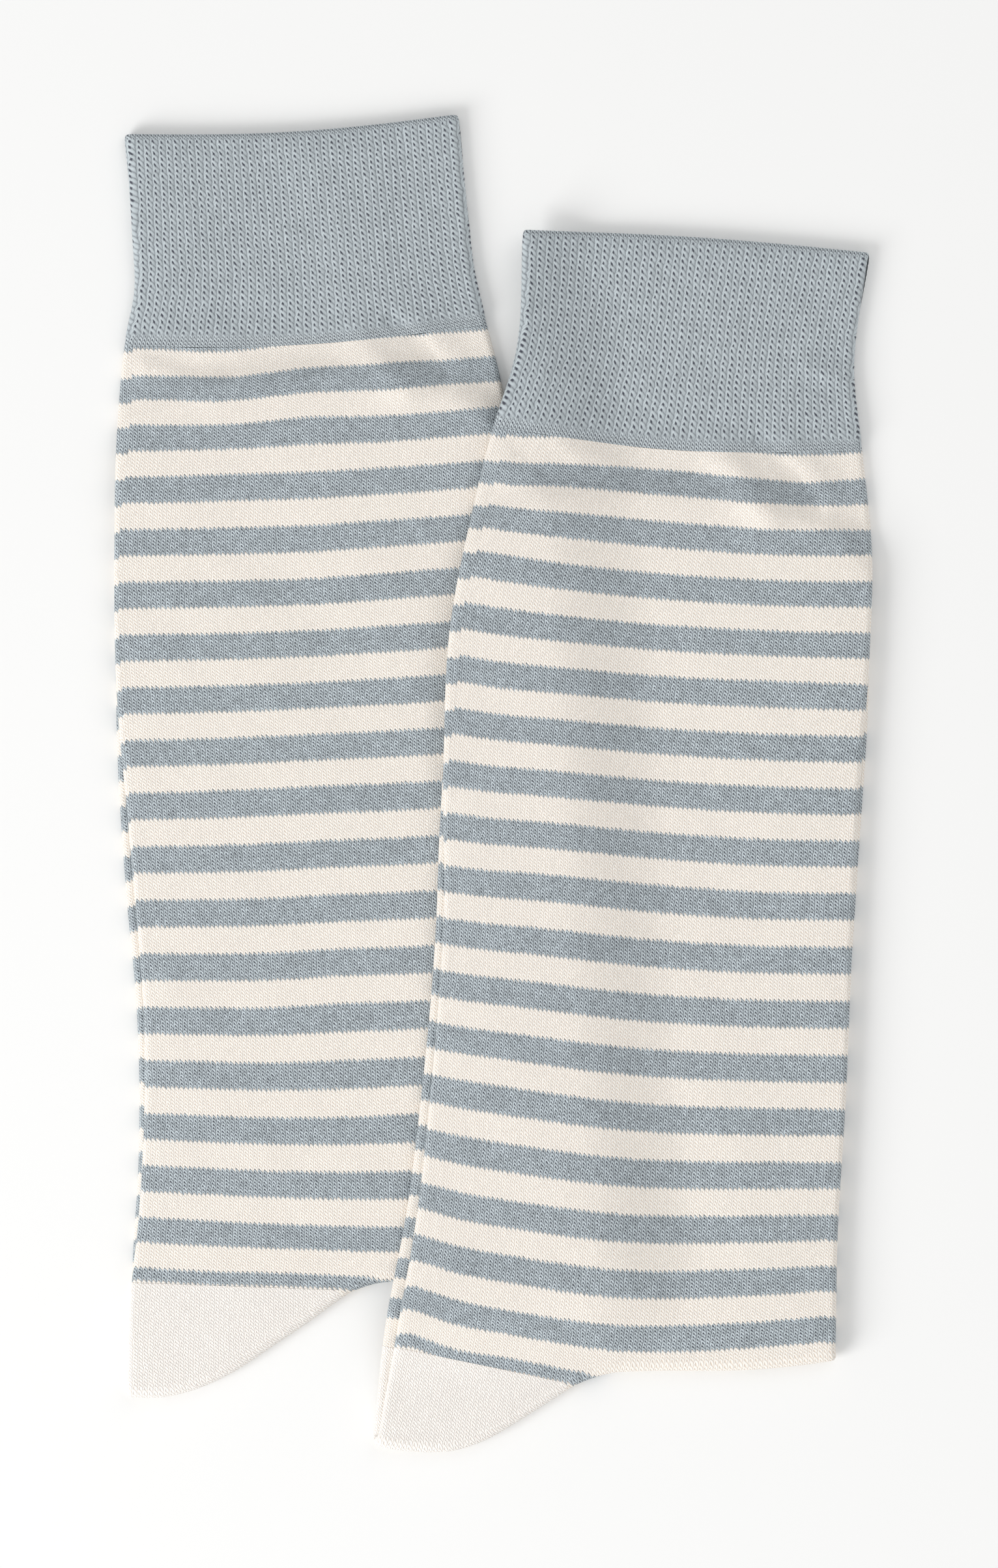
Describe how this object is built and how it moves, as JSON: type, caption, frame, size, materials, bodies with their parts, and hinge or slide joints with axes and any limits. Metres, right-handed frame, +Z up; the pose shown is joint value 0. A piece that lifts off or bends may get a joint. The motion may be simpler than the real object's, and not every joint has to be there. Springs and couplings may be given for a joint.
{
  "type": "pair of socks",
  "caption": "Pair of striped mid-calf dress socks with ribbed cuffs and plain heels, laid flat with the feet folded back behind the legs, one sock lapping over the other.",
  "frame": {"origin": "centre of the pair's bounding box, on the surface that the socks lie on", "axes": "+Z up from the surface, +Y towards the cuffs, +X towards the sock that lies on top"},
  "size_m": [0.1712, 0.3028, 0.0101],
  "materials": {
    "rib": "ribbed blue-grey cotton knit, matt",
    "stripe": "plain cotton knit in even bands of cream and blue-grey, matt",
    "plain": "plain cream cotton knit, matt"
  },
  "bodies": {
    "root": {"left_cuff": "rib", "left_leg": "stripe", "left_heel": "plain", "left_foot": "stripe", "left_toe": "plain", "right_cuff": "rib", "right_leg": "stripe", "right_heel": "plain", "right_foot": "stripe", "right_toe": "plain"}
  },
  "joints": []
}
